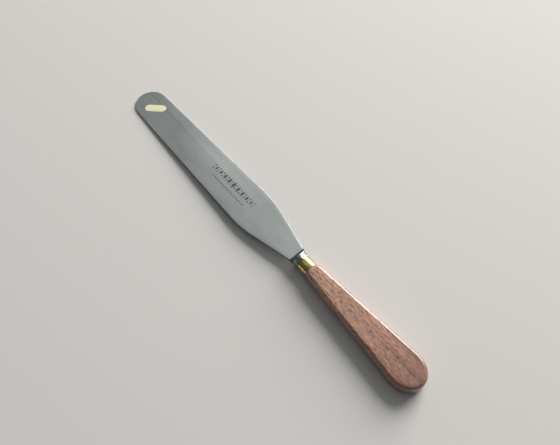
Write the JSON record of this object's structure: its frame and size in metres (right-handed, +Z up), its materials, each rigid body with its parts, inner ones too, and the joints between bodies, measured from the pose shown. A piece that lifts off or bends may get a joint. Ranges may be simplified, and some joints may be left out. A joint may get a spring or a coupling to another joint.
{
  "type": "palette knife",
  "caption": "Long round-tipped flexible spatula blade set in a flat wooden handle with a brass ferrule, for mixing and spreading paint.",
  "frame": {"origin": "centre of the overall outline on the plane that the knife lies on, at the handle's flat underside", "axes": "+X along the knife from the blade's tip to the handle's butt, +Z up through the blade's face, Y across the blade"},
  "size_m": [0.2503, 0.0256, 0.009],
  "materials": {
    "blade_steel": "satin ground steel with light wear",
    "ferrule_brass": "polished, lightly aged",
    "handle_wood": "oiled open-pored red-brown hardwood, edges polished by use",
    "cement": "dull dark resin",
    "gold_foil": "thin gold-coloured foil"
  },
  "bodies": {
    "root": {"blade": "blade_steel", "ferrule": "ferrule_brass", "handle": "handle_wood", "tang_cement": "cement", "foil_label": "gold_foil"}
  },
  "joints": []
}
